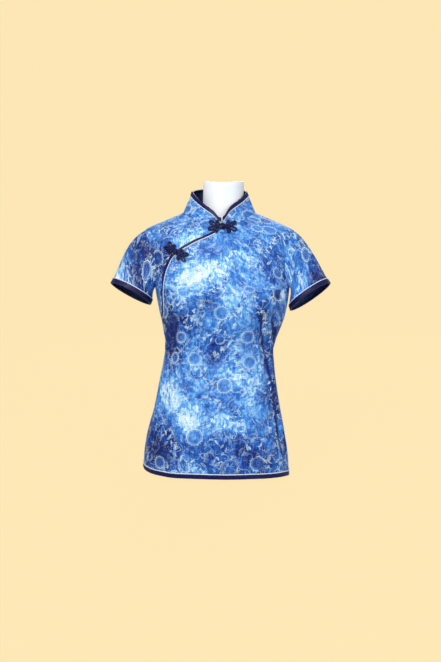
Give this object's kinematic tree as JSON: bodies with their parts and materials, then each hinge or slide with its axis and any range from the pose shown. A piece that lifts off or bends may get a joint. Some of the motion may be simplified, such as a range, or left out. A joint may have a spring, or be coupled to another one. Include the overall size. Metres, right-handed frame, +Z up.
{
  "type": "qipao top on dress form",
  "caption": "Short-sleeved qipao blouse with a stand collar, curved wrap front, bound edges and flower frogs, worn by a limbless white dress form.",
  "frame": {"origin": "point on the floor near the middle of the dress form's flat underside", "axes": "+Z up, the front of the garment faces -Y, +X towards the wearer's left"},
  "size_m": [0.5119, 0.2238, 0.6915],
  "materials": {
    "printed_cotton": "woven, soft sheen",
    "navy_satin": "satin bias binding and cord",
    "silver_piping": "fine satin piping",
    "form_white": "smooth eggshell"
  },
  "bodies": {
    "root": {"front_panel": "printed_cotton", "front_underlap": "printed_cotton", "back_panel": "printed_cotton", "sleeve_right": "printed_cotton", "sleeve_left": "printed_cotton", "collar": "printed_cotton", "cuff_binding_right": "navy_satin", "cuff_piping_right": "silver_piping", "cuff_binding_left": "navy_satin", "cuff_piping_left": "silver_piping", "collar_binding": "navy_satin", "collar_piping": "silver_piping", "wrap_binding": "navy_satin", "wrap_piping": "silver_piping", "front_hem_binding": "navy_satin", "front_hem_piping": "silver_piping", "back_hem_binding": "navy_satin", "back_hem_piping": "silver_piping", "frog_collar_loop": "navy_satin", "frog_collar_knot": "navy_satin", "frog_wrap_loop": "navy_satin", "frog_wrap_knot": "navy_satin", "dress_form": "form_white"}
  },
  "joints": []
}
